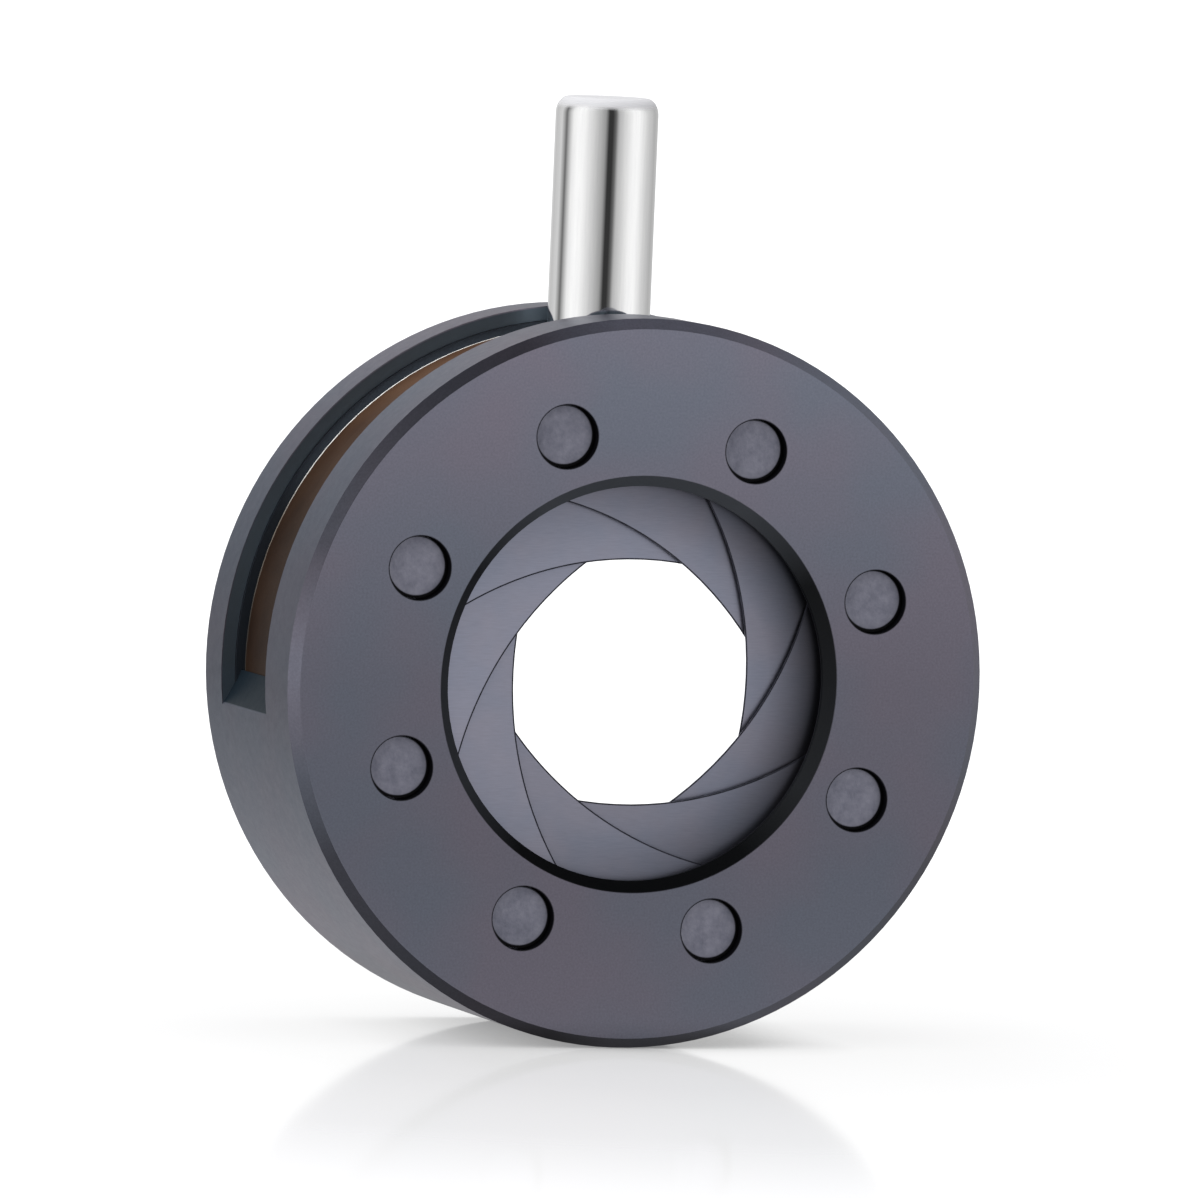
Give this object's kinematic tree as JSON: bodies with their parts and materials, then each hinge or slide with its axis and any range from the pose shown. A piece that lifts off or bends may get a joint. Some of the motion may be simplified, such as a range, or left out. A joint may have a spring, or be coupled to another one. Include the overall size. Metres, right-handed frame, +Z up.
{
  "type": "iris diaphragm",
  "caption": "Flat round iris diaphragm with overlapping steel leaves, turned by a pin lever that runs in a slot in the rim.",
  "frame": {"origin": "on the optical axis, in the plane of the front face", "axes": "+Y along the optical axis from the front face to the back, +Z up along the lever at rest, +X to the right as seen from the front"},
  "size_m": [0.036, 0.0143, 0.0465],
  "materials": {
    "black_anodised": "matt anodised",
    "journal_steel": "blackened, matt",
    "leaf_steel": "dark satin",
    "stud_steel": "turned",
    "bronze_ring": "turned, brown",
    "chrome_pin": "polished"
  },
  "bodies": {
    "housing": {"housing": "black_anodised", "retaining_ring": "black_anodised"},
    "rotor": {"rotor_ring": "bronze_ring", "lever": "chrome_pin"},
    "blade_1": {"leaf_1": "leaf_steel", "journal_1": "journal_steel", "drive_stud_1": "stud_steel"},
    "blade_2": {"leaf_2": "leaf_steel", "journal_2": "journal_steel", "drive_stud_2": "stud_steel"},
    "blade_3": {"leaf_3": "leaf_steel", "journal_3": "journal_steel", "drive_stud_3": "stud_steel"},
    "blade_4": {"leaf_4": "leaf_steel", "journal_4": "journal_steel", "drive_stud_4": "stud_steel"},
    "blade_5": {"leaf_5": "leaf_steel", "journal_5": "journal_steel", "drive_stud_5": "stud_steel"},
    "blade_6": {"leaf_6": "leaf_steel", "journal_6": "journal_steel", "drive_stud_6": "stud_steel"},
    "blade_7": {"leaf_7": "leaf_steel", "journal_7": "journal_steel", "drive_stud_7": "stud_steel"},
    "blade_8": {"leaf_8": "leaf_steel", "journal_8": "journal_steel", "drive_stud_8": "stud_steel"}
  },
  "joints": [
    {"name": "rotor_turn", "type": "hinge", "parent": "housing", "child": "rotor", "pos_m": [0, 0.0085, 0], "axis": [0, 1, 0], "range_deg": [-64.45, 39.97]},
    {"name": "blade_1_swing", "type": "hinge", "parent": "housing", "child": "blade_1", "pos_m": [-0.00427, 0.0012, 0.01213], "axis": [0, 1, 0], "range_deg": [-30.11, 18.68]},
    {"name": "blade_2_swing", "type": "hinge", "parent": "housing", "child": "blade_2", "pos_m": [-0.01159, 0.0012, 0.00555], "axis": [0, 1, 0], "range_deg": [-30.11, 18.68]},
    {"name": "blade_3_swing", "type": "hinge", "parent": "housing", "child": "blade_3", "pos_m": [-0.01213, 0.0012, -0.00427], "axis": [0, 1, 0], "range_deg": [-30.11, 18.68]},
    {"name": "blade_4_swing", "type": "hinge", "parent": "housing", "child": "blade_4", "pos_m": [-0.00555, 0.0012, -0.01159], "axis": [0, 1, 0], "range_deg": [-30.11, 18.68]},
    {"name": "blade_5_swing", "type": "hinge", "parent": "housing", "child": "blade_5", "pos_m": [0.00427, 0.0012, -0.01213], "axis": [0, 1, 0], "range_deg": [-30.11, 18.68]},
    {"name": "blade_6_swing", "type": "hinge", "parent": "housing", "child": "blade_6", "pos_m": [0.01159, 0.0012, -0.00555], "axis": [0, 1, 0], "range_deg": [-30.11, 18.68]},
    {"name": "blade_7_swing", "type": "hinge", "parent": "housing", "child": "blade_7", "pos_m": [0.01213, 0.0012, 0.00427], "axis": [0, 1, 0], "range_deg": [-30.11, 18.68]},
    {"name": "blade_8_swing", "type": "hinge", "parent": "housing", "child": "blade_8", "pos_m": [0.00555, 0.0012, 0.01159], "axis": [0, 1, 0], "range_deg": [-30.11, 18.68]}
  ],
  "couplings": [
    {"joint": "blade_1_swing", "follows": "rotor_turn", "ratio": 0.46696},
    {"joint": "blade_2_swing", "follows": "rotor_turn", "ratio": 0.46696},
    {"joint": "blade_3_swing", "follows": "rotor_turn", "ratio": 0.46696},
    {"joint": "blade_4_swing", "follows": "rotor_turn", "ratio": 0.46696},
    {"joint": "blade_5_swing", "follows": "rotor_turn", "ratio": 0.46696},
    {"joint": "blade_6_swing", "follows": "rotor_turn", "ratio": 0.46696},
    {"joint": "blade_7_swing", "follows": "rotor_turn", "ratio": 0.46696},
    {"joint": "blade_8_swing", "follows": "rotor_turn", "ratio": 0.46696}
  ]
}
